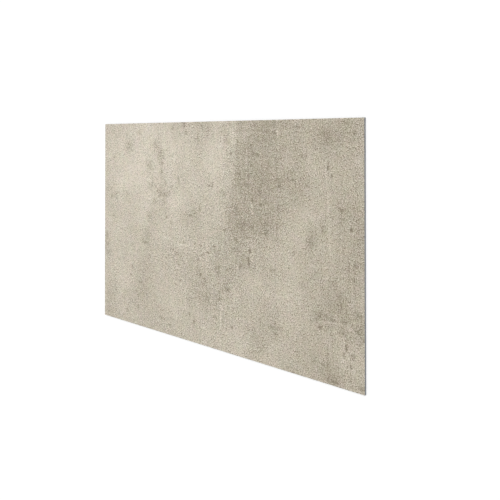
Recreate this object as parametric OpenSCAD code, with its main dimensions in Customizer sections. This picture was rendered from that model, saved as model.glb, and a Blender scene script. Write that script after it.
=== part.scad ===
// Rectangular SPC wall panel: a rigid stone plastic composite board with a
// printed concrete-look layer bonded to its face.
// The panel lies flat, decor face up. X runs along its length, Y across its
// width and Z through its thickness. The origin is the centre of the back face.
// All sizes are in millimetres.

/* [Panel] */
// Length of the panel, along X
panel_length = 1000; // [300:10:2800]
// Width of the panel, along Y
panel_width = 600; // [200:10:1300]

/* [Layers] */
// Thickness of the stone plastic composite core board
core_thickness = 5.1; // [2:0.1:10]
// Thickness of the decor layer, printed film and clear wear layer together
decor_thickness = 0.4; // [0.3:0.05:1]

/* [Edges] */
// Width of the eased arris round the decor face
face_ease = 0.15; // [0.05:0.05:0.25]
// Width of the eased arris round the back of the core board
back_ease = 0.3; // [0.1:0.1:1.5]

/* [Hidden] */
core_color = [0.50, 0.51, 0.53];
decor_color = [0.73, 0.70, 0.63];

// Section of a flat layer that stands on z = 0, with its two upper corners
// cut off at 45 degrees
module eased_section(span, thickness, ease) {
    half = span / 2;
    polygon([
        [-half, 0],
        [half, 0],
        [half, thickness - ease],
        [half - ease, thickness],
        [-half + ease, thickness],
        [-half, thickness - ease]
    ]);
}

// Rectangular layer with all four upper edges eased. The section along the
// length and the section across the width meet in mitred corners.
module eased_layer(thickness, ease) {
    intersection() {
        rotate([90, 0, 0])
            linear_extrude(height = panel_width, center = true)
                eased_section(panel_length, thickness, ease);
        rotate([90, 0, 90])
            linear_extrude(height = panel_length, center = true)
                eased_section(panel_width, thickness, ease);
    }
}

// Core board, with its eased edges turned down to the back
module core_board() {
    color(core_color)
        translate([0, 0, core_thickness])
            mirror([0, 0, 1])
                eased_layer(core_thickness, back_ease);
}

// Decor layer, bonded face to face on the core board and flush with its edges
module decor_layer() {
    color(decor_color)
        translate([0, 0, core_thickness])
            eased_layer(decor_thickness, face_ease);
}

core_board();
decor_layer();
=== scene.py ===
"""Looks of a rectangular SPC wall panel, lying flat with its decor face up.

The core board keeps its CAD mesh and gets a stone plastic finish. The decor layer
is a closed sheet with a fine trowelled relief, and its concrete-look print is
painted on the sheet's own points and finished with sand and pores in its material.
"""

import bpy
import numpy as np
from mathutils import Matrix, Vector


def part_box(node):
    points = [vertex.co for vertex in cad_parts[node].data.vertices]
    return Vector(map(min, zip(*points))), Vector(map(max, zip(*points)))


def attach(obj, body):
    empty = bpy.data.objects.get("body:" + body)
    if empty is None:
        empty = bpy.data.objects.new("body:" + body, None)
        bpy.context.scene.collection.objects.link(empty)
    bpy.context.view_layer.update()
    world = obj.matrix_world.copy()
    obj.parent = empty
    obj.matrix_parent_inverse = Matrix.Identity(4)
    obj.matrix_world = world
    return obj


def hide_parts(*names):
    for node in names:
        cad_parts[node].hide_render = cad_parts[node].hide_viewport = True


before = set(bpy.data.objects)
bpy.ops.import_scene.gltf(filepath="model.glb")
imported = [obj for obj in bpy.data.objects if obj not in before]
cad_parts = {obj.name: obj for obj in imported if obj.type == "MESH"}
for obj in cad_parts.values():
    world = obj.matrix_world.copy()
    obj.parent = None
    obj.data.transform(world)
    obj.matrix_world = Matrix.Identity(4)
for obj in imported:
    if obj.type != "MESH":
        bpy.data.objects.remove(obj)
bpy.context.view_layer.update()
bpy.context.scene.view_settings.view_transform = "Standard"

MM = 0.001
core_low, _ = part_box("core_board")
decor_low, decor_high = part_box("decor_layer")
PANEL_LENGTH = decor_high.x - decor_low.x
PANEL_WIDTH = decor_high.y - decor_low.y


# Camera. It stands off the right-hand end, level with the upper part of the panel
# as hung, so the panel's width runs upright in the picture.
CAMERA_PLACE = Vector((1.4204, 0.2537, 1.2690))
CAMERA_TURN = np.radians(45.18)  # from the face's normal towards the right-hand end
CAMERA_TILT = np.radians(-0.674)  # below zero it looks a little towards the top edge
CAMERA_LENS = 51.32
CAMERA_SENSOR = 36.0
CAMERA_SHIFT = -0.2392  # the panel hangs below the camera's own height


def make_camera():
    """Camera whose axes are the panel's, turned about its width and then tilted."""
    across = Vector((np.cos(CAMERA_TURN), 0, -np.sin(CAMERA_TURN)))
    level_back = Vector((np.sin(CAMERA_TURN), 0, np.cos(CAMERA_TURN)))
    width_way = Vector((0, 1, 0))
    back = level_back * np.cos(CAMERA_TILT) + width_way * np.sin(CAMERA_TILT)
    up = width_way * np.cos(CAMERA_TILT) - level_back * np.sin(CAMERA_TILT)
    data = bpy.data.cameras.new("camera")
    data.sensor_width = CAMERA_SENSOR
    data.lens = CAMERA_LENS
    data.shift_y = CAMERA_SHIFT
    camera = bpy.data.objects.new("camera", data)
    turned = Matrix((across, up, back)).transposed().to_4x4()
    camera.matrix_world = Matrix.Translation(CAMERA_PLACE) @ turned
    bpy.context.scene.collection.objects.link(camera)
    bpy.context.scene.camera = camera


# Node trees

def new_material(name):
    """Empty node material, with its tree and its output node."""
    material = bpy.data.materials.new(name)
    material.use_nodes = True
    tree = material.node_tree
    tree.nodes.clear()
    return material, tree, tree.nodes.new("ShaderNodeOutputMaterial")


def add(tree, kind, inputs=None, **settings):
    """One node: settings are its own properties, and inputs fill its sockets with
    values or join them to other nodes' sockets."""
    made = tree.nodes.new("ShaderNode" + kind)
    for name, value in settings.items():
        setattr(made, name, value)
    for key, value in (inputs or {}).items():
        if isinstance(value, bpy.types.NodeSocket):
            tree.links.new(value, made.inputs[key])
        else:
            made.inputs[key].default_value = value
    return made


def maths(tree, operation, a, b=0.0, c=0.0):
    """Result of one Math node."""
    return add(tree, "Math", {0: a, 1: b, 2: c}, operation=operation).outputs[0]


def linear(colour):
    """Linear light of a colour given in steps out of 255, as sRGB."""
    c = np.asarray(colour, float) / 255
    return tuple(np.where(c <= 0.04045, c / 12.92, ((c + 0.055) / 1.055) ** 2.4)) + (1.0,)


def ramp(tree, at, stops):
    """Colour ramp through (place, colour) stops, with the colours in steps out of 255."""
    made = add(tree, "ValToRGB", {0: at})
    points = made.color_ramp.elements
    while len(points) < len(stops):
        points.new(0.5)
    for point, (place, colour) in zip(points, stops):
        point.position = place
        point.color = linear(colour)
    return made.outputs[0]


# Light. The world and one soft lamp together light a level surface at about one.
WORLD_LIGHT = 0.60
LAMP_LIGHT = 1.45
LAMP_SPREAD = np.radians(40)
LAMP_FROM = Vector((0.35, 0.40, 0.85))


def make_light():
    """White world, which the camera and reflections see at strength one, and a broad soft
    lamp from beyond the panel's top right corner, far enough to light all of it alike."""
    world = bpy.data.worlds.new("studio")
    bpy.context.scene.world = world
    world.use_nodes = True
    tree = world.node_tree
    tree.nodes.clear()
    output = tree.nodes.new("ShaderNodeOutputWorld")
    strength = add(tree, "Mix", {0: seen_directly(tree), 2: WORLD_LIGHT, 3: 1.0}, data_type="FLOAT")
    shine = add(tree, "Background", {"Color": (1, 1, 1, 1), "Strength": strength.outputs[0]})
    tree.links.new(shine.outputs[0], output.inputs["Surface"])

    data = bpy.data.lights.new("soft_lamp", "SUN")
    data.energy = LAMP_LIGHT
    data.angle = LAMP_SPREAD
    lamp = bpy.data.objects.new("soft_lamp", data)
    lamp.rotation_euler = LAMP_FROM.to_track_quat("Z", "Y").to_euler()
    bpy.context.scene.collection.objects.link(lamp)


def seen_directly(tree):
    """One for a ray from the camera or from a reflection, and otherwise zero."""
    path = tree.nodes.new("ShaderNodeLightPath")
    either = maths(tree, "MAXIMUM", path.outputs["Is Camera Ray"], path.outputs["Is Glossy Ray"])
    return maths(tree, "MAXIMUM", either, path.outputs["Is Transmission Ray"])


# Floor
FLOOR_HALF = 8.0
FLOOR_GAP = 0.3 * MM  # keeps the floor clear of the panel's back
FLOOR_WHITE = 0.82
FLOOR_GLOW = 0.24


def make_floor():
    """Level white floor. A glow that only direct sight gets lifts it to plain white, and
    the panel's soft shadow stays on it."""
    r = FLOOR_HALF
    z = core_low.z - FLOOR_GAP
    mesh = bpy.data.meshes.new("floor")
    mesh.from_pydata([(-r, -r, z), (r, -r, z), (r, r, z), (-r, r, z)], [], [(0, 1, 2, 3)])
    floor = bpy.data.objects.new("floor", mesh)
    bpy.context.scene.collection.objects.link(floor)
    material, tree, output = new_material("white_floor")
    paint = add(tree, "BsdfDiffuse", {"Color": (FLOOR_WHITE, FLOOR_WHITE, FLOOR_WHITE, 1)})
    strength = maths(tree, "MULTIPLY", seen_directly(tree), FLOOR_GLOW)
    glow = add(tree, "Emission", {"Color": (1, 1, 1, 1), "Strength": strength})
    both = add(tree, "AddShader", {0: paint.outputs[0], 1: glow.outputs[0]})
    tree.links.new(both.outputs[0], output.inputs["Surface"])
    mesh.materials.append(material)


# Noise for the print and the relief, on whole arrays

LATTICE = 256


def lattice_noise(x, y, size, seed, stretch=1.0):
    """Random heights from -1 to 1 on a square lattice, joined by smoothstep blends.
    size is the lattice pitch, and stretch draws it out along y."""
    heights = np.random.default_rng(seed).uniform(-1, 1, (LATTICE, LATTICE))
    u = x / size + LATTICE / 4
    v = y / (size * stretch) + LATTICE / 4
    i = np.floor(u).astype(int)
    j = np.floor(v).astype(int)
    s = (u - i) ** 2 * (3 - 2 * (u - i))
    t = (v - j) ** 2 * (3 - 2 * (v - j))
    i, j, i_next, j_next = i % LATTICE, j % LATTICE, (i + 1) % LATTICE, (j + 1) % LATTICE
    near = heights[j, i] * (1 - s) + heights[j, i_next] * s
    far = heights[j_next, i] * (1 - s) + heights[j_next, i_next] * s
    return near * (1 - t) + far * t


def fractal(x, y, size, seed, octaves=4, gain=0.55, stretch=1.0):
    """Sum of lattice noises, each half the size of the last and gain times as strong,
    divided by the sum of the strengths."""
    heights = 0.0
    weight = 0.0
    for k in range(octaves):
        heights = heights + gain**k * lattice_noise(x, y, size / 2**k, seed + k, stretch)
        weight += gain**k
    return heights / weight


# The print. Places are millimetres from the face's left end and from its top edge, as
# hung, and lightness is in steps out of 255 about the colour in the middle of PRINT_RAMP.
# A material's tone runs from 0 to 1 across RAMP_SPAN steps. The marks are placed
# one at a time.

RAMP_SPAN = 128.0
# Painted light: the face is painted lighter at its left end and darker towards the right, where
# less light fell
PAINTED_LEFT_LIGHT = 5.3
PAINTED_LIGHT_FALL = 9.0  # steps per metre, from left to right
MOTTLING = 5.5  # steps, at the noise's full height
MOTTLING_CALM = 0.75  # its share outside the dark clouds
MOTTLING_ROUGH = 0.3  # and the share added in the plume
MOTTLING_NOISE = (30, 600, 4, 0.7)  # size of its waves, seed, octaves and gain
PLUME_LIGHTNESS = -20.0
MOST_STAINED = 1.3
STAIN_HALO = 0.7  # share of a stain that is soft, not crumbled
SPECK_CORE = 2.6  # a speck's dark bell, as a share of its level
SPECK_RIM = 0.7  # and the bell twice as wide that is taken from it and leaves a pale rim
LAP_EDGE = 8.0  # millimetres
LAP_ENDS = 0.25  # share of a lap's length over which its ends fade
HAIRLINE_ENDS = 0.1

# Noise that bends the outlines: size of its waves, how far it pushes, and its seed
CLOUD_BEND = (60, 22, 500)
STAIN_BEND = (14, 4.5, 540)
CRUMB_BEND = (14, 3, 540)
HAIRLINE_BEND = (30, 1.5, 560)
SPECK_BEND = (9, 1.5, 580)

# Strength of the sand: (two places from the left end), (strength at each), and (two values
# of lightness), (share at each)
SAND_ALONG = ((500, 900), (1.20, 0.88))
SAND_BY_LIGHTNESS = ((-10, 13), (1.12, 0.85))
GRAIN_EVERYWHERE = 0.3
MOST_GRAIN = 1.2

# Broad clouds: (from left, from top, half length, half width, turn, lightness)
PALE_CLOUDS = [
    (60, 110, 110, 130, 0, 8),
    (160, 100, 75, 120, 0, 9),
    (175, 185, 70, 45, 0, 5),
    (255, 60, 75, 95, 0, 11),
    (325, 90, 40, 110, 10, 9),
    (235, 150, 50, 70, 0, 6),
    (385, 85, 45, 60, 0, 5),
    (400, 130, 90, 110, 0, 6),
    (525, 85, 42, 85, 0, 14),
    (450, 130, 90, 60, 0, 4),
    (345, 222, 40, 26, 0, 8),
    (385, 225, 60, 40, 0, 5),
    (225, 245, 50, 50, 0, 6),
    (50, 215, 50, 30, 0, 3),
    (90, 320, 70, 60, 20, 5),
    (95, 445, 60, 60, 0, 6),
    (310, 295, 90, 55, 0, 5),
    (510, 235, 55, 45, 0, 4),
    (340, 505, 40, 55, 0, 4),
    (505, 400, 30, 34, 0, 6),
    (655, 410, 45, 32, 0, 7),
    (788, 415, 46, 66, 0, 5),
    (800, 270, 40, 40, 0, 4),
    (610, 585, 45, 40, 0, 7),
    (715, 585, 40, 30, 0, 5),
    (480, 585, 40, 40, 0, 4),
    (190, 275, 28, 45, 0, 6),
    (185, 398, 24, 45, 0, 6),
    (98, 185, 34, 24, 0, 6),
    (240, 14, 40, 24, 0, 6),
    (487, 300, 20, 40, 0, 6),
    (540, 255, 22, 22, 0, 6),
    (412, 12, 26, 22, 0, 6),
    (580, 20, 20, 34, 0, 7),
    (737, 545, 24, 20, 0, 7),
    (950, 570, 26, 22, 0, 7),
    (12, 310, 24, 34, 0, 6),
    (843, 108, 46, 30, 0, 8),
    (752, 355, 36, 30, 0, 6),
    (762, 425, 22, 32, 0, 5),
    (486, 400, 14, 36, 0, 7),
    (465, 385, 18, 24, 0, 5),
    (556, 462, 24, 12, 0, 6),
    (652, 18, 48, 16, 0, 6),
    (120, 45, 30, 40, 0, 5),
    (222, 4, 24, 16, 0, 5),
    (8, 525, 20, 30, 0, 8),
    (350, 348, 90, 12, 0, 4),
    (980, 395, 34, 16, 0, 6),
    (945, 255, 34, 30, 0, 4),
    (925, 8, 40, 14, 0, 5),
    (325, 185, 22, 26, 0, 6),
    (235, 238, 40, 26, -45, 4),
    (300, 270, 14, 20, 0, 5),
    (445, 35, 40, 16, 0, 4),
    (265, 135, 18, 30, 0, 5),
    (340, 240, 28, 24, 0, 5),
    (235, 395, 20, 18, 0, 6),
    (195, 452, 34, 14, 25, 4),
    (350, 362, 50, 16, 0, 3),
    (845, 235, 22, 26, 0, 6),
    (820, 300, 24, 14, 0, 4),
    (795, 158, 16, 14, 0, 6),
    (510, 345, 14, 14, 0, 6),
    (670, 315, 22, 12, 0, 5),
    (20, 475, 24, 12, 0, 5),
    (115, 310, 14, 16, 0, 4),
    (585, 55, 34, 30, 0, 4),
    (505, 18, 24, 18, 0, 4),
    (300, 250, 220, 420, 0, 1.5),
    (155, 45, 40, 50, 0, 3),
    (150, 255, 40, 40, 0, 2),
    (345, 60, 30, 50, 0, 1.5),
    (50, 22, 30, 16, 0, 3),
    (327, 150, 12, 28, 0, 3),
    (188, 186, 18, 14, 0, 3),
    (472, 374, 14, 12, 0, 4),
    (182, 460, 22, 12, 0, 3),
    (935, 30, 26, 12, 0, 4),
    (937, 226, 10, 14, 0, 3),
    (595, 118, 8, 20, 0, 3),
    (608, 10, 14, 12, 0, 3),
    (438, 350, 40, 12, 0, 2),
    (45, 385, 22, 18, 0, 2.5),
    (700, 455, 12, 16, 0, 2),
    (900, 560, 24, 16, 0, 3),
    (95, 320, 20, 16, 0, 2),
]

DARK_CLOUDS = [
    # plume from the top edge down to the middle
    (682, 70, 58, 110, 0, -10),
    (680, 190, 70, 95, 12, -12),
    (618, 240, 30, 70, 0, -4),
    (625, 262, 52, 32, 0, -7),
    (580, 265, 40, 40, 0, -4),
    (700, 262, 38, 30, 0, -5),
    (715, 235, 50, 60, 0, -6),
    (700, 20, 50, 30, 0, -5),
    (600, 325, 75, 60, 30, -8),
    (525, 375, 48, 60, 0, -7),
    (640, 355, 26, 26, 0, -7),
    (475, 435, 60, 55, 0, -8),
    (562, 430, 22, 26, 0, -7),
    (535, 465, 25, 20, 0, -5),
    (510, 520, 40, 24, 0, -4),
    # right-hand end
    (780, 145, 52, 34, 10, -10),
    (820, 180, 30, 30, 0, -5),
    (890, 45, 40, 36, 0, -7),
    (960, 20, 60, 30, 0, -9),
    (935, 60, 60, 50, 0, -4),
    (800, 50, 80, 70, 0, -7),
    (955, 220, 45, 60, 0, -11),
    (990, 280, 40, 60, 0, -8),
    (850, 280, 20, 36, 15, -9),
    (960, 340, 60, 60, 0, -6),
    (925, 435, 75, 46, 0, -9),
    (935, 415, 50, 40, 0, -6),
    (870, 460, 32, 28, 0, -6),
    (995, 470, 26, 26, 0, -12),
    (903, 587, 34, 28, 0, -17),
    (830, 570, 50, 40, 0, -4),
    (880, 520, 80, 60, 0, -5),
    (735, 503, 28, 26, 0, -9),
    (670, 535, 50, 36, 0, -7),
    # left half
    (135, 70, 28, 30, 0, -5),
    (280, 110, 34, 90, -12, -7),
    (235, 130, 28, 40, 0, -5),
    (285, 205, 40, 24, 0, -7),
    (270, 265, 36, 40, 0, -5),
    (425, 255, 42, 30, 0, -9),
    (200, 460, 44, 90, 10, -8),
    (18, 372, 20, 40, 0, -6),
    (25, 545, 34, 60, 0, -9),
    (320, 365, 55, 36, 0, -4),
    (380, 15, 60, 26, 0, -6),
    (470, 20, 40, 40, 0, -5),
    (555, 30, 20, 20, 0, -4),
    (290, 580, 80, 30, 0, -4),
    (215, 535, 50, 50, 0, -3),
    (235, 316, 24, 18, 0, -5),
    (37, 212, 22, 16, 0, -5),
    (38, 487, 20, 40, 0, -4),
    (287, 538, 22, 20, 0, -6),
    # thin shades between the larger clouds
    (346, 45, 18, 44, 0, -7),
    (342, 150, 14, 40, 0, -4),
    (140, 320, 24, 26, 0, -5),
    (112, 400, 14, 50, 0, -5),
    (150, 515, 34, 22, 0, -5),
    (345, 575, 26, 26, 0, -6),
    (560, 35, 26, 16, 0, -4),
    (600, 75, 10, 40, 0, -4),
    (755, 88, 16, 20, 0, -6),
    (625, 148, 24, 16, 0, -6),
    (602, 380, 18, 22, 0, -6),
    (858, 370, 22, 30, 0, -6),
    (885, 145, 20, 50, 0, -3),
    (668, 572, 22, 26, 0, -7),
    (785, 592, 24, 12, 0, -6),
    (960, 592, 34, 18, 0, -8),
    (550, 525, 30, 26, 0, -4),
    (8, 175, 20, 30, 0, -4),
    (965, 62, 34, 14, 0, -5),
    (378, 130, 18, 44, 0, -5),
    (430, 115, 30, 30, 0, -4),
    (450, 245, 22, 26, 0, -4),
    (498, 385, 20, 10, 0, -5),
    (742, 268, 14, 12, 0, -6),
    (768, 215, 10, 18, 0, -5),
    (710, 290, 16, 14, 0, -4),
    (672, 352, 12, 12, 0, -5),
    (897, 100, 12, 26, 0, -6),
    (922, 462, 14, 14, 0, -5),
    (950, 335, 40, 20, 0, -4),
    (240, 355, 24, 20, 0, -4),
    (320, 418, 24, 10, 0, -4),
    (208, 222, 16, 26, 0, -4),
    (10, 410, 16, 22, 0, -4),
    (60, 15, 40, 20, 0, -3),
    (90, 592, 60, 10, 0, -5),
    # between the plume and the right-hand end
    (722, 270, 28, 26, 0, -7),
    (800, 188, 28, 24, 0, -6),
    (787, 12, 30, 20, 0, -5),
    (885, 255, 14, 24, 0, -7),
    (735, 380, 40, 26, 0, -6),
    (687, 562, 22, 20, 0, -5),
    # broad faint shades over the plume and the ends
    (645, 330, 55, 85, 0, -2.5),
    (660, 170, 60, 60, 0, -1.5),
    (560, 410, 50, 60, 0, -1.5),
    (25, 570, 45, 40, 0, -2),
    (960, 130, 50, 60, 0, -1),
    (860, 330, 60, 60, 0, -1),
    # small shades over the whole face
    (462, 465, 20, 18, 0, -4),
    (340, 64, 12, 16, 0, -4),
    (318, 212, 9, 16, 0, -4),
    (600, 270, 44, 12, 0, -4),
    (645, 320, 14, 18, 0, -4),
    (563, 436, 12, 14, 0, -5),
    (318, 378, 9, 22, 30, -4),
    (36, 452, 12, 12, 0, -3),
    (402, 505, 12, 14, 0, -3),
    (518, 520, 12, 9, 0, -3),
    (946, 510, 12, 24, 0, -5),
    (872, 74, 14, 10, 0, -3),
    (768, 92, 14, 12, 0, -3),
    (802, 132, 10, 12, 0, -3),
    (715, 206, 16, 10, 0, -4),
    (956, 188, 12, 12, 0, -3),
    (996, 490, 10, 14, 0, -4),
    (985, 594, 16, 8, 0, -4),
    (205, 325, 12, 14, 0, -2.5),
]

# Small stains, darker than the cloud they lie in, given as the clouds are
STAINS = [
    # rough ring and its tail, upper left
    (264, 70, 15, 18, 0, -2),
    (287, 100, 16, 24, 0, -5),
    (291, 150, 10, 28, 0, -3),
    (225, 122, 18, 20, 0, -2),
    (245, 184, 11, 18, 0, -4),
    (240, 275, 16, 18, 0, -3),
    (258, 60, 12, 12, 0, -6),
    (285, 88, 14, 13, 0, -9),
    (279, 120, 9, 6, 0, -7),
    (288, 142, 8, 14, 0, -6),
    (224, 120, 17, 13, 0, -6),
    (234, 126, 8, 7, 0, -8),
    (250, 150, 10, 11, 0, -3),
    (240, 188, 8, 9, 0, -8),
    (276, 196, 12, 14, 0, -6),
    (306, 196, 14, 10, 0, -4),
    (280, 207, 6, 7, 0, -5),
    (306, 172, 7, 12, 0, -4),
    (305, 205, 14, 8, 0, -8),
    (323, 196, 9, 11, 0, -6),
    (338, 183, 8, 11, 0, -5),
    (255, 230, 14, 9, 0, -7),
    (229, 273, 8, 8, 0, -10),
    (322, 250, 9, 14, 0, -6),
    (312, 268, 6, 5, 0, -10),
    (335, 284, 6, 5, 0, -8),
    # left end
    (222, 326, 27, 24, 0, -4),
    (132, 62, 26, 24, 0, -4),
    (198, 440, 34, 60, 0, -4),
    (50, 104, 8, 5, 0, -9),
    (120, 38, 8, 7, 0, -7),
    (130, 68, 20, 12, 0, -7),
    (144, 79, 7, 5, 0, -7),
    (182, 29, 8, 6, 0, -9),
    (20, 202, 11, 8, 0, -7),
    (62, 216, 10, 7, 0, -8),
    (42, 224, 9, 4, 0, -9),
    (125, 213, 8, 5, 0, -7),
    (48, 284, 10, 6, 0, -7),
    (10, 347, 12, 9, 0, -9),
    (8, 370, 9, 5, 0, -9),
    (26, 404, 8, 7, 0, -9),
    (145, 365, 8, 6, 0, -9),
    (210, 346, 12, 7, 0, -10),
    (232, 353, 7, 5, 0, -10),
    (231, 388, 7, 6, 0, -8),
    (150, 432, 5, 10, -30, -11),
    (192, 471, 9, 5, 0, -4),
    (167, 500, 5, 4, 0, -9),
    (62, 512, 7, 5, 0, -9),
    (20, 530, 8, 8, 0, -9),
    (102, 530, 8, 5, 0, -7),
    (183, 511, 12, 6, 0, -6),
    (175, 547, 6, 6, 0, -8),
    (122, 569, 8, 8, 0, -8),
    (80, 579, 5, 8, 0, -7),
    (22, 586, 8, 7, 0, -9),
    (290, 560, 9, 8, 0, -12),
    (332, 360, 12, 12, 0, -4),
    # upper middle
    (390, 8, 7, 10, 0, -12),
    (398, 32, 6, 7, 0, -10),
    (373, 36, 8, 7, 0, -7),
    (433, 5, 8, 5, 0, -9),
    (464, 14, 6, 12, 0, -7),
    (447, 43, 8, 6, 0, -7),
    (490, 16, 7, 18, 0, -5),
    (575, 8, 6, 6, 0, -8),
    (565, 52, 9, 8, 0, -8),
    (572, 101, 6, 6, 0, -8),
    (365, 158, 9, 10, 0, -5),
    (486, 171, 8, 4, 0, -9),
    (505, 167, 5, 9, 0, -8),
    (553, 190, 8, 8, 0, -10),
    (430, 247, 24, 7, 0, -5),
    (417, 259, 13, 4, 0, -10),
    (456, 234, 6, 6, 0, -9),
    (560, 235, 7, 12, 0, -6),
    # dark plume
    (606, 136, 12, 6, 0, -7),
    (660, 85, 6, 6, 0, -11),
    (650, 60, 9, 7, 0, -7),
    (668, 12, 6, 6, 0, -11),
    (600, 226, 8, 13, 0, -8),
    (617, 262, 14, 9, 0, -9),
    (636, 258, 8, 6, 0, -9),
    (655, 271, 6, 7, 0, -8),
    (706, 28, 8, 5, 0, -6),
    (677, 87, 5, 5, 0, -11),
    (682, 178, 6, 8, 0, -11),
    (700, 256, 9, 6, 0, -8),
    (707, 278, 7, 8, 0, -13),
    (745, 215, 6, 10, 0, -6),
    (604, 312, 8, 5, 0, -9),
    (668, 327, 6, 5, 0, -10),
    (614, 372, 7, 7, 0, -10),
    (588, 335, 7, 6, 0, -7),
    # below the plume
    (455, 385, 60, 40, 0, -2),
    (440, 440, 70, 50, 0, -2),
    (380, 370, 50, 30, 0, -2),
    (520, 335, 10, 8, 0, -5),
    (464, 345, 12, 14, 0, -4),
    (445, 373, 12, 6, 0, -5),
    (528, 395, 9, 12, 0, -7),
    (568, 382, 12, 6, 0, -9),
    (457, 408, 6, 10, 25, -5),
    (475, 430, 10, 12, 0, -9),
    (568, 414, 6, 8, 0, -8),
    (556, 424, 6, 8, 0, -8),
    (533, 464, 12, 9, 0, -7),
    (490, 478, 12, 10, -30, -7),
    (415, 486, 14, 7, 0, -7),
    (526, 485, 5, 8, 0, -7),
    (584, 532, 7, 6, 0, -6),
    (435, 545, 6, 8, 0, -7),
    # upper right
    (806, 18, 14, 6, 0, -7),
    (888, 34, 8, 10, 0, -5),
    (896, 47, 16, 12, 0, -7),
    (930, 48, 7, 6, 0, -6),
    (973, 34, 7, 6, 0, -8),
    (945, 10, 20, 7, 0, -6),
    (828, 87, 10, 7, 0, -8),
    (899, 112, 5, 10, 0, -12),
    (770, 131, 14, 7, 0, -5),
    (779, 145, 7, 4, 0, -11),
    (750, 155, 8, 11, 0, -6),
    (772, 219, 7, 4, 0, -8),
    (850, 284, 11, 24, 8, -4),
    (884, 247, 8, 8, 0, -8),
    (940, 207, 8, 5, 0, -11),
    (930, 200, 6, 5, 0, -8),
    (982, 128, 6, 10, 0, -6),
    # lower right
    (820, 386, 9, 5, 0, -9),
    (795, 315, 5, 6, 0, -9),
    (730, 365, 7, 6, 0, -9),
    (733, 505, 14, 13, 0, -5),
    (700, 455, 5, 6, 0, -9),
    (685, 493, 5, 5, 0, -11),
    (915, 370, 10, 8, 0, -8),
    (935, 410, 8, 13, 0, -9),
    (978, 325, 8, 6, 0, -10),
    (970, 355, 12, 6, 0, -8),
    (875, 448, 13, 9, 0, -6),
    (892, 451, 6, 6, 0, -9),
    (940, 450, 9, 5, 0, -6),
    (985, 432, 8, 8, 0, -11),
    (985, 467, 13, 6, 25, -4),
    (941, 480, 6, 6, 0, -11),
    (952, 490, 5, 6, 0, -11),
    (971, 525, 5, 5, 0, -13),
    (900, 530, 5, 12, 0, -9),
    (963, 547, 8, 5, 0, -11),
    (895, 561, 12, 9, 0, -6),
    (915, 592, 18, 7, 0, -8),
    (856, 556, 8, 12, 0, -7),
    (995, 590, 8, 7, 0, -12),
]

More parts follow.
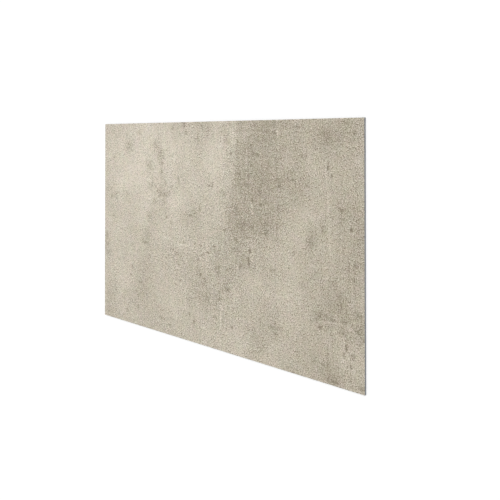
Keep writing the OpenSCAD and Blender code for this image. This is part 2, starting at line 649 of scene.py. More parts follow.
# Dark specks and ticks with firm outlines, given as the clouds are
SPECKS = [
    # rough ring and its tail, upper left
    (258, 62, 5, 4, 0, -10),
    (280, 84, 5, 4, 0, -10),
    (299, 100, 7, 3, 40, -14),
    (292, 117, 5, 5, 0, -20),
    (302, 128, 3, 8, 0, -9),
    (289, 141, 4, 6, 0, -14),
    (214, 112, 4, 4, 0, -11),
    (222, 124, 4, 3, 0, -9),
    (232, 127, 4, 4, 0, -13),
    (238, 116, 3, 6, 0, -7),
    (232, 150, 5, 4, 0, -8),
    (247, 175, 4, 8, 30, -17),
    (232, 179, 12, 3, 0, -9),
    (230, 190, 10, 3, 0, -8),
    (262, 186, 4, 4, 0, -8),
    (283, 186, 5, 3, 0, -9),
    (271, 196, 4, 8, 0, -13),
    (281, 200, 4, 7, 0, -11),
    (277, 211, 6, 3, 0, -10),
    (307, 172, 3.5, 8, 0, -10),
    (313, 206, 9, 3.5, -20, -10),
    (325, 198, 4, 5, 0, -9),
    (338, 182, 3, 7, 30, -13),
    (366, 160, 4, 7, 0, -9),
    (378, 152, 5, 3, 0, -8),
    (311, 244, 4, 5, 0, -9),
    (309, 257, 4, 4, 0, -9),
    (312, 270, 5, 4, 0, -12),
    (335, 285, 6, 4, 0, -8),
    # left end
    (50, 103, 5, 3, -25, -13),
    (66, 92, 5, 3, 0, -9),
    (79, 92, 3, 3, 0, -9),
    (146, 82, 5, 3, 0, -10),
    (36, 200, 4, 4, 0, -12),
    (50, 203, 4, 4, 0, -9),
    (42, 222, 7, 3, 30, -12),
    (64, 230, 7, 3, 0, -12),
    (126, 212, 5, 3, 0, -9),
    (48, 284, 5, 3, 0, -9),
    (215, 352, 12, 3, 0, -13),
    (233, 390, 3, 5, 0, -10),
    (75, 414, 5, 3, 30, -10),
    (148, 430, 4, 6, -30, -20),
    (141, 455, 5, 4, 0, -13),
    (188, 471, 9, 3, -10, -14),
    (180, 480, 4, 3, 0, -10),
    (200, 476, 5, 3, 0, -9),
    (63, 512, 4, 4, 0, -12),
    (30, 497, 3, 8, 0, -10),
    (181, 510, 7, 3, 0, -9),
    (175, 545, 5, 3, -20, -10),
    (120, 563, 7, 4, 20, -9),
    (205, 551, 4, 4, 0, -8),
    (290, 560, 5, 4, 0, -13),
    (80, 582, 4, 4, 0, -9),
    # crumbled ground below the middle
    (389, 334, 7, 3, -20, -20),
    (372, 336, 5, 3, 0, -12),
    (322, 377, 4, 6, 20, -20),
    (331, 355, 3.5, 4, 0, -21),
    (353, 366, 4, 3, 0, -21),
    (343, 377, 3, 4, 0, -15),
    (310, 384, 4, 3, 0, -15),
    (366, 398, 3.5, 4, 0, -15),
    (379, 374, 4, 3, 0, -15),
    (296, 362, 3.5, 4, 0, -14),
    (357, 392, 3, 4, 0, -14),
    (340, 403, 4, 3, 0, -12),
    (388, 388, 3.5, 4, 0, -12),
    (352, 453, 4, 4, 0, -14),
    (374, 440, 4, 5, 0, -21),
    (430, 376, 6, 3, 0, -15),
    (448, 372, 5, 3, 0, -15),
    (460, 335, 4, 4, 0, -20),
    (475, 338, 5, 3, 0, -18),
    (466, 359, 4, 5, 0, -20),
    (490, 350, 8, 3.5, 0, -28),
    (500, 342, 3, 5, 0, -18),
    (516, 331, 5, 4, 0, -20),
    (532, 341, 6, 3, 15, -18),
    (535, 322, 5, 3, 0, -14),
    (455, 404, 3.5, 4, 0, -18),
    (461, 414, 4.5, 4.5, 0, -26),
    (478, 428, 3.5, 7, -20, -12),
    (521, 390, 3.5, 9, 0, -14),
    (533, 385, 3.5, 11, 0, -15),
    (566, 436, 8, 7, 0, -17),
    (555, 428, 4, 5, 0, -12),
    (535, 448, 4, 7, -20, -18),
    (536, 466, 7, 4, -20, -15),
    (518, 516, 8, 4, 0, -27),
    (413, 526, 6, 4, 35, -22),
    (435, 545, 4, 5, -30, -14),
    (583, 531, 5, 4, 0, -20),
    (327, 573, 5, 5, 0, -24),
    (384, 524, 4, 3, 0, -10),
    (497, 172, 9, 2.5, 12, -20),
    (508, 168, 2.5, 8, 0, -18),
    (418, 257, 9, 3, 0, -16),
    (436, 250, 8, 3, 0, -12),
    (456, 238, 4, 5, 0, -14),
    # plume
    (579, 86, 4, 8, 0, -25),
    (575, 101, 4, 4, 0, -11),
    (604, 52, 5, 3, 30, -13),
    (589, 111, 4, 4, 0, -13),
    (611, 136, 5, 4, 0, -14),
    (643, 140, 4, 4, 0, -19),
    (660, 84, 5, 4, 0, -13),
    (677, 86, 4, 4, 0, -19),
    (707, 29, 5, 3.5, 0, -15),
    (697, 31, 4, 3, 0, -8),
    (730, 31, 4, 4, 0, -11),
    (658, 61, 5, 3, 0, -9),
    (647, 41, 3.5, 5, 0, -9),
    (684, 57, 6, 3, 0, -9),
    (666, 98, 4, 3.5, 0, -11),
    (653, 113, 4, 4, 0, -9),
    (653, 132, 4, 4, 0, -9),
    (706, 121, 4, 3, 0, -9),
    (681, 167, 5, 3, 0, -9),
    (637, 162, 5, 3.5, 0, -10),
    (749, 162, 4, 5, 0, -11),
    (683, 180, 5, 4, 0, -10),
    (657, 200, 4, 5, 0, -21),
    (686, 210, 8, 4, 0, -21),
    (678, 241, 6, 3.5, 20, -16),
    (688, 246, 5, 3, 0, -10),
    (687, 280, 4, 4, 0, -14),
    (745, 214, 4, 6, 0, -9),
    (759, 220, 4, 4, 0, -9),
    (557, 287, 4, 7, 0, -22),
    (561, 301, 3, 5, 0, -9),
    (538, 278, 3, 5, 0, -8),
    (621, 276, 6, 4.5, 0, -24),
    (628, 265, 5, 3.5, -30, -18),
    (657, 269, 4, 6, 0, -16),
    (707, 280, 6, 4, 0, -10),
    (597, 305, 6, 4, 0, -23),
    (600, 267, 5, 4, 0, -13),
    (590, 264, 4, 3, 0, -9),
    (599, 236, 4, 5, 0, -9),
    (648, 312, 5, 3, 0, -9),
    (596, 322, 4, 3, 0, -9),
    (604, 310, 5, 3, 0, -12),
    (649, 328, 5, 7, 0, -36),
    (645, 356, 4, 14, 0, -32),
    (614, 373, 5, 4, 0, -9),
    (668, 326, 4, 4, 0, -10),
    # upper right
    (888, 30, 5, 4, 0, -7),
    (930, 48, 5, 4, 0, -7),
    (975, 34, 5, 4, 0, -10),
    (863, 69, 5, 3.5, 0, -12),
    (880, 78, 4, 4, 0, -10),
    (822, 88, 5, 4, 0, -12),
    (834, 87, 3.5, 5, 0, -11),
    (899, 112, 3.5, 7, 0, -11),
    (910, 130, 4.5, 4.5, 0, -25),
    (794, 144, 6, 4, 0, -18),
    (778, 142, 5, 3, 0, -12),
    (818, 143, 6, 3, 0, -10),
    (836, 156, 5, 4, 0, -16),
    (749, 158, 5, 8, 0, -6),
    (806, 189, 6, 3, 0, -8),
    (848, 281, 11, 18, 8, -4),
    (877, 244, 5, 3, 30, -9),
    (885, 255, 3.5, 8, -10, -9),
    (938, 205, 6, 4, 30, -9),
    (965, 247, 5, 4.5, 0, -30),
    # lower right
    (820, 386, 5, 3, 0, -8),
    (730, 366, 4, 4, 0, -6),
    (685, 493, 4, 4, 0, -10),
    (722, 505, 5, 7, 0, -12),
    (733, 493, 6, 3.5, 0, -12),
    (741, 506, 4, 6, 0, -9),
    (735, 518, 7, 3.5, 0, -16),
    (752, 502, 8, 4, -20, -10),
    (880, 382, 3, 6, 0, -5),
    (932, 398, 4, 6, 0, -12),
    (934, 414, 5, 4, 0, -12),
    (978, 426, 5, 4, 0, -10),
    (875, 477, 8, 4, 0, -25),
    (874, 453, 6, 3, 0, -10),
    (943, 453, 7, 3, 0, -12),
    (910, 454, 9, 3, 0, -9),
    (983, 470, 8, 4, 40, -10),
    (998, 482, 5, 6, 0, -14),
    (950, 508, 4, 8, 0, -28),
    (944, 526, 4, 8, 0, -20),
    (971, 526, 3.5, 5, 0, -10),
    (964, 546, 4, 5, 0, -16),
    (886, 560, 5, 3.5, 0, -5),
    (900, 551, 4, 4, 0, -8),
    (916, 592, 14, 3.5, 0, -13),
    # top edge, between the ring and the plume
    (390, 9, 4, 7, 0, -14),
    (396, 27, 4, 6, 20, -11),
    (490, 16, 3.5, 9, 0, -8),
    (449, 52, 4, 6, 0, -8),
    (447, 30, 3.5, 5, 0, -6),
    (463, 12, 3.5, 6, 0, -8),
]

# Small pale spots and slivers, given as the clouds are
PALE_SPOTS = [
    (586, 42, 12, 12, 0, 9),
    (590, 20, 8, 12, 0, 6),
    (584, 112, 6, 16, 0, 6),
    (571, 158, 4, 10, 0, 6),
    (222, 60, 6, 6, 0, 8),
    (230, 220, 10, 5, 0, 8),
    (207, 112, 6, 18, 0, 7),
    (296, 196, 5, 9, 0, 6),
    (258, 142, 7, 7, 0, 8),
    (482, 368, 8, 16, 0, 5),
    (742, 31, 5, 8, 0, 9),
    (790, 8, 10, 6, 0, 7),
    (882, 160, 6, 6, 0, 7),
    (985, 95, 8, 7, 0, 8),
    (855, 228, 14, 8, 0, 6),
    (965, 465, 10, 6, 0, 7),
    (925, 487, 6, 4, 0, 9),
    (840, 440, 9, 6, 0, 7),
    (810, 488, 8, 8, 0, 6),
    (745, 440, 6, 9, 0, 6),
    (935, 535, 8, 6, 0, 6),
    (85, 512, 8, 7, 0, 7),
    (66, 180, 9, 9, 0, 5),
    (95, 64, 8, 6, 0, 6),
    (400, 340, 12, 6, 0, 5),
    (370, 345, 12, 6, 0, 6),
    (655, 222, 4, 16, 0, 8),
    (683, 407, 8, 5, 0, 6),
    (965, 410, 12, 8, 0, 6),
    (487, 452, 8, 8, 0, 6),
    (966, 518, 7, 7, 0, 6),
    (20, 470, 10, 10, 0, 4),
]

# Laps that a trowel leaves. Each is darkest along a straight line and fades over its reach,
# to the left of its way where the reach is positive, and otherwise to the right:
# (from left, from top, to left, to top, reach, lightness)
LAPS = [
    (612, -60, 591, 80, 60, -8),
    (591, 60, 590, 170, 60, -8),
    (590, 150, 566, 268, 55, -8),
    (240, 212, 0, 206, 45, -3.5),
    (735, 0, 742, 60, -40, -4),
    (868, 458, 1010, 452, -12, -5),
]

# Hairlines, thin scratches: (from left, from top, to left, to top, half width, lightness)
HAIRLINES = [
    (893, 90, 907, 320, 2.2, 16),
    (655, 203, 658, 240, 2.2, 24),
    (542, 480, 540, 545, 2.2, 22),
    (398, 455, 396, 516, 2.2, 20),
    (255, 328, 300, 320, 2.4, 12),
    (290, 327, 334, 331, 2.4, 18),
    (334, 334, 372, 340, 2.2, 11),
    (360, 344, 388, 340, 2.2, 12),
    (390, 338, 440, 345, 2.4, 9),
    (438, 452, 478, 450, 2.4, 14),
    (870, 461, 960, 459, 2.2, 14),
    (950, 462, 1000, 478, 2.2, 12),
    (0, 457, 60, 455, 2.2, 10),
    (486, 270, 484, 390, 3.0, 3),
    (630, 302, 634, 340, 2.0, 14),
    (624, 305, 627, 340, 2.0, 8),
    (676, 330, 677, 400, 2.0, 10),
    (814, 380, 815, 470, 2.0, 10),
    (505, 60, 520, 190, 2.4, 10),
    (740, 24, 746, 36, 2.6, 22),
    (744, 36, 746, 90, 2.2, 8),
    (205, 230, 250, 190, 2.6, 8),
    (235, 47, 268, 38, 2.2, 12),
    (945, 480, 938, 560, 2.2, 12),
    (865, 500, 862, 590, 2.2, 10),
    (900, 500, 905, 540, 2.2, 12),
    (85, 180, 90, 260, 2.4, 6),
    (835, 340, 915, 337, 2.2, 14),
    (860, 363, 930, 361, 2.2, 9),
    (848, 375, 900, 377, 2.2, 7),
    (700, 428, 780, 424, 2.2, 8),
    (612, 335, 600, 400, 2.2, 8),
    (127, 440, 128, 500, 3.0, 9),
    (30, 75, 90, 82, 2.2, 7),
    (590, 420, 592, 470, 2.2, 8),
]

# Where the sand is weaker or stronger, given as the clouds are, with what is added to its
# strength in place of lightness
SAND_ZONES = [
    # ground that the trowel closed
    (150, 150, 60, 45, 0, -0.4),
    (150, 265, 60, 30, 0, -0.1),
    (345, 50, 45, 40, 0, -0.28),
    (515, 100, 30, 60, 0, -0.2),
    (485, 285, 40, 20, -20, -0.2),
    (365, 220, 24, 40, 0, -0.15),
    (250, 370, 60, 30, 0, -0.12),
    (240, 460, 60, 40, 0, -0.2),
    (330, 520, 60, 50, 0, -0.24),
    (820, 230, 40, 30, 0, -0.12),
    (640, 400, 36, 28, 0, -0.2),
    (850, 350, 100, 110, 0, -0.14),
    (860, 540, 90, 80, 0, -0.16),
    # open ground
    (50, 215, 50, 30, 0, 0.2),
    (40, 430, 50, 50, 0, 0.1),
    (40, 540, 60, 60, 0, 0.2),
    (290, 95, 24, 30, 0, 0.25),
    (260, 190, 50, 20, 0, 0.2),
    (590, 100, 50, 120, 0, 0.18),
    (690, 210, 60, 60, 0, 0.15),
    (620, 270, 110, 70, 0, 0.3),
    (540, 350, 110, 50, 0, 0.35),
    (350, 380, 50, 40, 0, 0.2),
    (550, 450, 60, 50, 0, 0.3),
]

# Where upright grain shows, given as the clouds are, with its strength in place of lightness
GRAIN_ZONES = [
    (670, 120, 90, 170, 0, 1.0),
    (805, 60, 45, 90, 0, 0.8),
    (960, 380, 60, 160, 0, 0.6),
    (500, 430, 100, 100, 0, 0.8),
    (300, 130, 50, 120, 0, 0.5),
]


def bend(x, y, size, amount, seed):
    """The plane pushed about by noise: each point moves by up to amount, in waves of size."""
    right = x + amount * fractal(x, y, size, seed, 3)
    down = y + amount * fractal(x, y, size, seed + 10, 3)
    return right, down


def soft(square):
    """Outline of a cloud or stain: exp(-r^2)."""
    return np.exp(-square)


def firm(square):
    """Outline of a speck: a bell, exp(-r^2), less a weaker one that is twice as wide."""
    return SPECK_CORE * np.exp(-square) - SPECK_RIM * np.exp(-square / 4)


def patches(x, y, marks, outline=soft):
    """Sum of ellipses: each is its level times the outline at r^2, where r is the distance
    from its centre in half sizes."""
    levels = np.zeros_like(x)
    for from_left, from_top, half_length, half_width, turn, level in marks:
        c, s = np.cos(np.radians(turn)), np.sin(np.radians(turn))
        u = ((x - from_left) * c + (y - from_top) * s) / half_length
        v = ((y - from_top) * c - (x - from_left) * s) / half_width
        levels += level * outline(u * u + v * v)
    return levels


def by_line(x, y, start, end):
    """Distance to the left of a straight line, and the way along it as a share of its
    length: the cross and the dot product with the line's direction."""
    step = np.subtract(end, start)
    length = np.hypot(*step)
    along = ((x - start[0]) * step[0] + (y - start[1]) * step[1]) / length**2
    left = ((x - start[0]) * step[1] - (y - start[1]) * step[0]) / length
    return left, along


def within(along, width):
    """One from a line's start to its end, and zero past them, by smoothsteps of this width."""
    rise = np.clip(along / width + 0.5, 0, 1)
    fall = np.clip((1 - along) / width + 0.5, 0, 1)
    return rise**2 * (3 - 2 * rise) * fall**2 * (3 - 2 * fall)


def laps(x, y):
    """Sum of the laps: each rises over a few millimetres across its line and then dies away
    as exp(-distance / reach)."""
    levels = np.zeros_like(x)
    for x0, y0, x1, y1, reach, level in LAPS:
        left, along = by_line(x, y, (x0, y0), (x1, y1))
        inside = left * np.sign(reach)
        edge = np.clip(inside / LAP_EDGE + 0.5, 0, 1)
        fading = np.exp(-np.clip(inside, 0, None) / abs(reach))
        levels += level * edge * fading * within(along, LAP_ENDS)
    return levels


def hairlines(x, y):
    """Sum of the hairlines: each is a bell across its line, exp(-(distance / half width)^2)."""
    levels = np.zeros_like(x)
    for x0, y0, x1, y1, half_width, level in HAIRLINES:
        left, along = by_line(x, y, (x0, y0), (x1, y1))
        levels += level * np.exp(-((left / half_width) ** 2)) * within(along, HAIRLINE_ENDS)
    return levels


def stained(x, y):
    """How far a point lies in the dark clouds: their lightness there as a share of the
    plume's, held between nothing and a little over one."""
    return np.clip(patches(x, y, DARK_CLOUDS) / PLUME_LIGHTNESS, 0, MOST_STAINED)


def print_lightness(x, y):
    """Lightness of the face: a slow fall from left to right, which is painted light, and the
    print's clouds, stains, pale spots, specks, laps and hairlines with their outlines bent by
    noise, and mottling, which is noise of its own and is strongest in the dark clouds."""
    wide = bend(x, y, *CLOUD_BEND)
    fine = bend(x, y, *STAIN_BEND)
    marks = patches(*wide, PALE_CLOUDS) + patches(*wide, DARK_CLOUDS)
    marks += STAIN_HALO * patches(*fine, STAINS) + patches(*fine, PALE_SPOTS)
    marks += patches(*bend(x, y, *SPECK_BEND), SPECKS, firm)
    marks += laps(*fine) + hairlines(*bend(x, y, *HAIRLINE_BEND))
    rough = MOTTLING_CALM + MOTTLING_ROUGH * stained(x, y)
    mottling = MOTTLING * rough * fractal(*fine, *MOTTLING_NOISE)
    # painted light: the first two terms paint the face lighter at the left end and darker towards
    # the right
    return PAINTED_LEFT_LIGHT - PAINTED_LIGHT_FALL * x * MM + marks + mottling


def small_stains(x, y):
    """Darkness of the small stains: the sum of their levels, with its sign turned. The
    decor's material crumbles it."""
    return -patches(*bend(x, y, *CRUMB_BEND), STAINS)


def sand_strength(x, y, lightness):
    """Strength of the sand: a straight fall towards the right-hand end, times a straight
    fall from dark ground to pale, plus the sum of its zones."""
    placed = np.interp(x, *SAND_ALONG) * np.interp(lightness, *SAND_BY_LIGHTNESS)
    return placed + patches(*bend(x, y, *CLOUD_BEND), SAND_ZONES)


def grain_strength(x, y):
    """Share of the fine woven grain that shows: a little all over plus the sum of its
    zones, and held to a little over one."""
    placed = patches(*bend(x, y, *CLOUD_BEND), GRAIN_ZONES)
    return np.clip(GRAIN_EVERYWHERE + placed, 0, MOST_GRAIN)


# The decor layer's sheet
GRID_STEPS = (400, 240)
ARRIS = 0.15 * MM
RELIEF_DEPTH = 0.10 * MM
RELIEF_WAVES = (90 * MM, 300, 3)  # size, seed and octaves
RELIEF_RIDGES = (12 * MM, 310, 3)
RIDGE_STRETCH = 2.5
WAVE_SHARE = 0.6  # of the depth, and the ridges have the rest
FLAT_RIM = 4 * MM


def border_of(count_x, count_y):
    """Numbers of a grid's border points, once round from the first corner."""
    numbers = np.arange(count_x * count_y).reshape(count_y, count_x)
    sides = (numbers[0, :-1], numbers[:-1, -1], numbers[-1, :0:-1], numbers[:0:-1, 0])
    return np.concatenate(sides)


def band_of(outer, inner):
    """Four-sided faces between two loops of point numbers, one inside the other."""
    return np.stack([outer, np.roll(outer, -1), np.roll(inner, -1), inner], 1)


def relief(x, y, z_out):
    """Height of the trowelled surface: the CAD face less the relief, which is the mean of
    broad waves and fine ridges by their shares, each noise taken from -1..1 to 0..1, and
    which fades out in a straight line over the rim."""
    waves = 0.5 + 0.5 * fractal(x, y, *RELIEF_WAVES)
    ridges = 0.5 + 0.5 * fractal(x, y, *RELIEF_RIDGES, stretch=RIDGE_STRETCH)
    to_edge = np.minimum(PANEL_LENGTH / 2 - abs(x), PANEL_WIDTH / 2 - abs(y))
    fade = np.clip(to_edge / FLAT_RIM, 0, 1)
    return z_out - RELIEF_DEPTH * fade * (WAVE_SHARE * waves + (1 - WAVE_SHARE) * ridges)


def out_to_edge(values, half):
    """Coordinates, with those at the face's rim on either side carried out to half the
    panel's size."""
    near = abs(values) > half - 1.5 * ARRIS
    return np.where(near, np.sign(values) * half, values)


def sheet_shape():
    """Points and faces of a closed sheet: a grid of points over the face inside its eased
    edge, then a loop at the edge's foot, a loop at the bond line below it, and a fan of
    triangles across the back. The grid comes first, and its points sink by the relief."""
    half_x, half_y = PANEL_LENGTH / 2, PANEL_WIDTH / 2
    along = np.linspace(-half_x + ARRIS, half_x - ARRIS, GRID_STEPS[0] + 1)
    across = np.linspace(-half_y + ARRIS, half_y - ARRIS, GRID_STEPS[1] + 1)
    x, y = (a.ravel() for a in np.meshgrid(along, across))
    face = np.stack([x, y, relief(x, y, decor_high.z)], 1)

    rim = border_of(len(along), len(across))
    foot = face[rim].copy()
    foot[:, 0] = out_to_edge(foot[:, 0], half_x)
    foot[:, 1] = out_to_edge(foot[:, 1], half_y)
    foot[:, 2] = decor_high.z - ARRIS
    bond = foot.copy()
    bond[:, 2] = decor_low.z
    points = np.concatenate([face, foot, bond, [[0, 0, decor_low.z]]])

    foot_numbers = len(face) + np.arange(len(rim))
    bond_numbers = foot_numbers + len(rim)
    middle = len(points) - 1
    numbers = np.arange(len(face)).reshape(len(across), len(along))
    corners = (numbers[:-1, :-1], numbers[:-1, 1:], numbers[1:, 1:], numbers[1:, :-1])
    faces = np.stack(corners, -1).reshape(-1, 4).tolist()
    faces += band_of(foot_numbers, rim).tolist()
    faces += band_of(bond_numbers, foot_numbers).tolist()
    back = np.stack([np.roll(bond_numbers, -1), bond_numbers, np.full(len(rim), middle)], 1)
    return points, faces + back.tolist()


def store_print(mesh, points):
    """Values that the decor's material reads at each point: the print's tone with its painted
    fall of light from left to right, the stains, the strength of the sand and the grain, and
    one at each point off the face."""
    from_left = (points[:, 0] + PANEL_LENGTH / 2) / MM
    from_top = (PANEL_WIDTH / 2 - points[:, 1]) / MM
    lightness = print_lightness(from_left, from_top)
    face_count = (GRID_STEPS[0] + 1) * (GRID_STEPS[1] + 1)
    keep = {
        "lightness": 0.5 + lightness / RAMP_SPAN,
        "stain": stained(from_left, from_top),
        "small_stain": small_stains(from_left, from_top) / RAMP_SPAN,
        "sand": sand_strength(from_left, from_top, lightness),
        "grain": grain_strength(from_left, from_top),
        "cut_edge": (np.arange(len(points)) >= face_count).astype(float),
    }
    for name, values in keep.items():
        layer = mesh.attributes.new(name, "FLOAT", "POINT")
        layer.data.foreach_set("value", values.astype(np.float32))


def make_sheet():
    """Decor sheet, smooth over its face and flat at its edges and back, with its print."""
    points, faces = sheet_shape()
    mesh = bpy.data.meshes.new("decor_sheet")
    mesh.from_pydata(points.tolist(), [], faces)
    mesh.shade_flat()
    smooth = np.zeros(len(mesh.polygons), bool)
    smooth[: GRID_STEPS[0] * GRID_STEPS[1]] = True
    mesh.polygons.foreach_set("use_smooth", smooth)
    store_print(mesh, points)
    sheet = bpy.data.objects.new("decor_sheet", mesh)
    bpy.context.scene.collection.objects.link(sheet)
    return sheet


# Finishes. What the material lays on the print is in steps of lightness: sand, grit and
# grain go both ways, and flecks and holes only darken. Scales are waves or cells per metre,
# and a stretch is how many times longer than wide the noise is drawn.
SAND = 50.0
GRIT = 10.0
GRAIN = 7.0
FLECKS = 16.0
HOLES = 26.0
SCATTER = 4 * MM  # how far noise moves a grain of sand
SCATTER_SCALE = 420.0
SAND_SCALE = 355.0
GRIT_SCALE = 500.0
GRAIN_SCALE = 170.0
UPRIGHT_STRETCH = 22.0
LEVEL_STRETCH = 16.0
FLECK_SCALE = 130.0
HOLE_SCALE = 70.0
CRUMB_SCALE = 170.0
BUMP_SCALE = 320.0
SHEEN_SCALE = 90.0
PRINT_RAMP = [
    (0.0, (125, 115, 97)),
    (0.25, (160, 151, 133)),
    (0.5, (195, 187, 170)),
    (0.75, (233, 223, 208)),
    (1.0, (253, 250, 239)),
]
# Pink and green, and warm and cool: (scale of the patches, first tint, second tint)
TINTS = [
    (32.0, (254, 249, 254), (249, 254, 249)),
    (24.0, (255, 253, 248), (252, 253, 254)),
]
FILM_EDGE = (146, 145, 145)


def painted_on(tree, name):
    """A value that the sheet's points carry."""
    return add(tree, "Attribute", attribute_name=name).outputs["Fac"]


def spread(tree, value, low, high, to_low=0.0, to_high=1.0):
    """A value carried from one range to another and held at that range's ends."""
    ends = {"From Min": low, "From Max": high, "To Min": to_low, "To Max": to_high}
    return add(tree, "MapRange", {"Value": value, **ends}).outputs[0]


def both_ways(tree, value, low, high, steps):
    """A value carried to a range that goes as many steps of lightness down as up."""
    return spread(tree, value, low, high, -steps / RAMP_SPAN, steps / RAMP_SPAN)


def noise(tree, place, scale, detail=2.0, roughness=0.5):
    """Grey noise about 0.5, in cycles per metre."""
    inputs = {"Vector": place, "Scale": scale, "Detail": detail, "Roughness": roughness}
    return add(tree, "TexNoise", inputs).outputs[0]


def cells(tree, place, scale, dimensions="3D"):
    """Voronoi node, whose colour holds three values of each cell's own."""
    inputs = {"Vector": place, "Scale": scale}
    return add(tree, "TexVoronoi", inputs, voronoi_dimensions=dimensions)


def own_value(tree, voronoi, number):
    """One of the three values of each cell's own."""
    return add(tree, "SeparateColor", {0: voronoi.outputs["Color"]}).outputs[number]


def stretched(tree, place, along):
    """Coordinates in which noise is drawn out by these factors along X, Y and Z."""
    inputs = {0: place, "Scale": along}
    return add(tree, "Mapping", inputs, vector_type="TEXTURE").outputs[0]


def blend(tree, factor, first, second, how="MIX"):
    """Colour between two colours, or one laid over the other by another rule."""
    inputs = {0: factor, 6: first, 7: second}
    return add(tree, "Mix", inputs, data_type="RGBA", blend_type=how).outputs[2]


def total(tree, *values):
    """Sum of several values."""
    result = values[0]
    for value in values[1:]:
        result = maths(tree, "ADD", result, value)
    return result


def matt_surface(tree, output, colour, roughness, height, strength, depth):
    """Plain surface with a fine bump, joined to the material's output."""
    inputs = {"Height": height, "Strength": strength, "Distance": depth}
    bump = add(tree, "Bump", inputs).outputs[0]
    inputs = {"Base Color": colour, "Normal": bump, "Roughness": roughness}
    shader = add(tree, "BsdfPrincipled", inputs)
    tree.links.new(shader.outputs[0], output.inputs["Surface"])


def sand_and_grit(tree, place, small):
    """Lightness of sand and grit. A grain of sand is pale in its middle and dark at its rim,
    and noise moves it. A grain of grit is one flat tone. Small stains have more of both."""
    inputs = {"Vector": place, "Scale": SCATTER_SCALE, "Detail": 3.0, "Roughness": 0.7}
    push = add(tree, "TexNoise", inputs).outputs["Color"]
    inputs = {0: push, 1: (0.5, 0.5, 0.5)}
    push = add(tree, "VectorMath", inputs, operation="SUBTRACT").outputs[0]
    inputs = {0: push, 1: (SCATTER, SCATTER, 0), 2: place}
    scattered = add(tree, "VectorMath", inputs, operation="MULTIPLY_ADD").outputs[0]
    grains = cells(tree, scattered, SAND_SCALE, "2D")
    shape = both_ways(tree, grains.outputs["Distance"], 0.08, 0.68, -SAND)
    share = spread(tree, own_value(tree, grains, 1), 0.0, 1.0, 0.0, 1.5)
    sand = maths(tree, "MULTIPLY", shape, share)
    grit_value = own_value(tree, cells(tree, place, GRIT_SCALE), 0)
    grit = both_ways(tree, grit_value, 0.0, 1.0, GRIT)
    strength = maths(tree, "MULTIPLY_ADD", small, 3.0, painted_on(tree, "sand"))
    return maths(tree, "MULTIPLY", maths(tree, "ADD", sand, grit), strength)


def flecks(tree, place):
    """Darkening by flecks: the heights of a noise above a bar that is lower in the stains."""
    bar = spread(tree, painted_on(tree, "stain"), 0.0, 0.6, 0.60, 0.54)
    over = maths(tree, "SUBTRACT", noise(tree, place, FLECK_SCALE, 2.0, 0.6), bar)
    return spread(tree, over, 0.0, 0.14, 0.0, -FLECKS / RAMP_SPAN)


def pinholes(tree, place):
    """One in the pinholes and zero around them. Four cells in ten have one, in its own size."""
    holes = cells(tree, place, HOLE_SCALE)
    chance = maths(tree, "SUBTRACT", own_value(tree, holes, 1), 0.6)
    size = spread(tree, chance, 0.0, 0.4, 0.0, 0.17)
    inside = maths(tree, "SUBTRACT", size, holes.outputs["Distance"])
    return spread(tree, inside, 0.0, 0.07)


def crumbled_stains(tree, place, small):
    """Darkening by the small stains, which noise breaks into crumbs."""
    crumbs = spread(tree, noise(tree, place, CRUMB_SCALE, 3.0, 0.75), 0.45, 0.57, 0.0, 2.6)
    return maths(tree, "MULTIPLY", maths(tree, "MULTIPLY", small, crumbs), -1.0)


def woven_grain(tree, place):
    """Fine upright threads and level scores half as strong, where the grain shows."""
    upright = stretched(tree, place, (1.0, UPRIGHT_STRETCH, 1.0))
    threads = both_ways(tree, noise(tree, upright, GRAIN_SCALE, 1.0), 0.3, 0.7, GRAIN)
    level = stretched(tree, place, (LEVEL_STRETCH, 1.0, 1.0))
    scores = both_ways(tree, noise(tree, level, GRAIN_SCALE, 1.0), 0.3, 0.7, 0.5 * GRAIN)
    both = maths(tree, "ADD", threads, scores)
    return maths(tree, "MULTIPLY", both, painted_on(tree, "grain"))


def tinted(tree, place, colour):
    """A colour times tints that pass from one to the other in patches of noise."""
    for scale, first, second in TINTS:
        patchy = noise(tree, place, scale, 6.0, 1.0)
        tint = ramp(tree, patchy, [(0.38, first), (0.62, second)])
        colour = blend(tree, 1.0, colour, tint, "MULTIPLY")
    return colour


def decor_finish():
    """Printed film under a matt wear layer. Its tone is the painted print, with its painted
    fall of light from left to right, plus scattered sand, grit, flecks, pinholes, crumbled
    stains and a fine upright and level grain."""
    material, tree, output = new_material("concrete_look_decor")
    place = tree.nodes.new("ShaderNodeTexCoord").outputs["Object"]
    painted = painted_on(tree, "lightness")
    small = painted_on(tree, "small_stain")
    grains = sand_and_grit(tree, place, small)
    hole = pinholes(tree, place)
    dark_holes = maths(tree, "MULTIPLY", hole, -HOLES / RAMP_SPAN)
    crumbled = crumbled_stains(tree, place, small)
    woven = woven_grain(tree, place)
    tone = total(tree, painted, grains, flecks(tree, place), dark_holes, crumbled, woven)
    colour = tinted(tree, place, ramp(tree, tone, PRINT_RAMP))
    colour = blend(tree, painted_on(tree, "cut_edge"), colour, linear(FILM_EDGE))

    height = maths(tree, "SUBTRACT", noise(tree, place, BUMP_SCALE, 2.0, 0.6), hole)
    roughness = spread(tree, noise(tree, place, SHEEN_SCALE, 3.0), 0.3, 0.7, 0.50, 0.62)
    matt_surface(tree, output, colour, roughness, height, 0.3, 0.1 * MM)
    return material


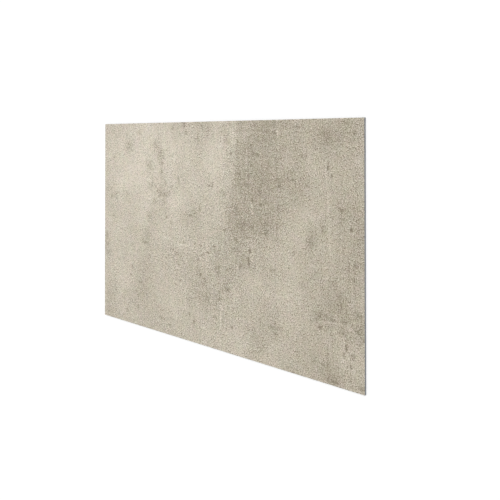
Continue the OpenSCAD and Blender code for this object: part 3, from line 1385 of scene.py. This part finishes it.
CORE_RAMP = [(0.3, (98, 100, 104)), (0.5, (126, 128, 132)), (0.7, (152, 154, 158))]
FILLER_SCALE = 900.0
FOAM_SCALE = 1100.0
SAW_SCALE = 1500.0
SAW_SQUEEZE = 0.06  # height of a saw streak, as a share of its length
ROLLER_SCALE = 260.0
ROLLER_STRETCH = 40.0
SHADE_SCALE = 14.0


def core_finish():
    """Grey stone plastic board. Chalk filler and foam cells speckle it. Its cut edges have
    short fine saw streaks that run along them, and its back has long roller lines."""
    material, tree, output = new_material("stone_plastic_core")
    place = tree.nodes.new("ShaderNodeTexCoord").outputs["Object"]
    normal = tree.nodes.new("ShaderNodeNewGeometry").outputs["Normal"]
    facing = add(tree, "SeparateXYZ", {0: normal}).outputs
    at_back = spread(tree, maths(tree, "ABSOLUTE", facing[2]), 0.6, 0.9)
    filler = noise(tree, place, FILLER_SCALE, 3.0, 0.6)
    foam = cells(tree, place, FOAM_SCALE)
    pits = spread(tree, foam.outputs["Distance"], 0.10, 0.22, 1.0, 0.0)

    saw = noise(tree, stretched(tree, place, (1.0, 1.0, SAW_SQUEEZE)), SAW_SCALE, 2.0, 0.6)
    along = stretched(tree, place, (ROLLER_STRETCH, 1.0, 1.0))
    rolled = noise(tree, along, ROLLER_SCALE, 3.0, 0.6)
    lines = add(tree, "Mix", {0: at_back, 2: saw, 3: rolled}, data_type="FLOAT").outputs[0]
    shade = noise(tree, place, SHADE_SCALE, 4.0, 0.6)

    tone = maths(tree, "MULTIPLY_ADD", lines, 0.45, maths(tree, "MULTIPLY", filler, 0.35))
    tone = maths(tree, "MULTIPLY_ADD", shade, 0.2, tone)
    tone = maths(tree, "MULTIPLY_ADD", pits, -0.12, tone)
    colour = ramp(tree, tone, CORE_RAMP)
    height = maths(tree, "MULTIPLY_ADD", lines, 0.7, maths(tree, "MULTIPLY", pits, -0.5))
    roughness = spread(tree, filler, 0.3, 0.7, 0.58, 0.72)
    matt_surface(tree, output, colour, roughness, height, 0.35, 0.08 * MM)
    return material


make_camera()
make_light()
make_floor()

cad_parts["core_board"].material_slots[0].material = core_finish()

decor_sheet = make_sheet()
decor_sheet.data.materials.append(decor_finish())
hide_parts("decor_layer")
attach(decor_sheet, "root")
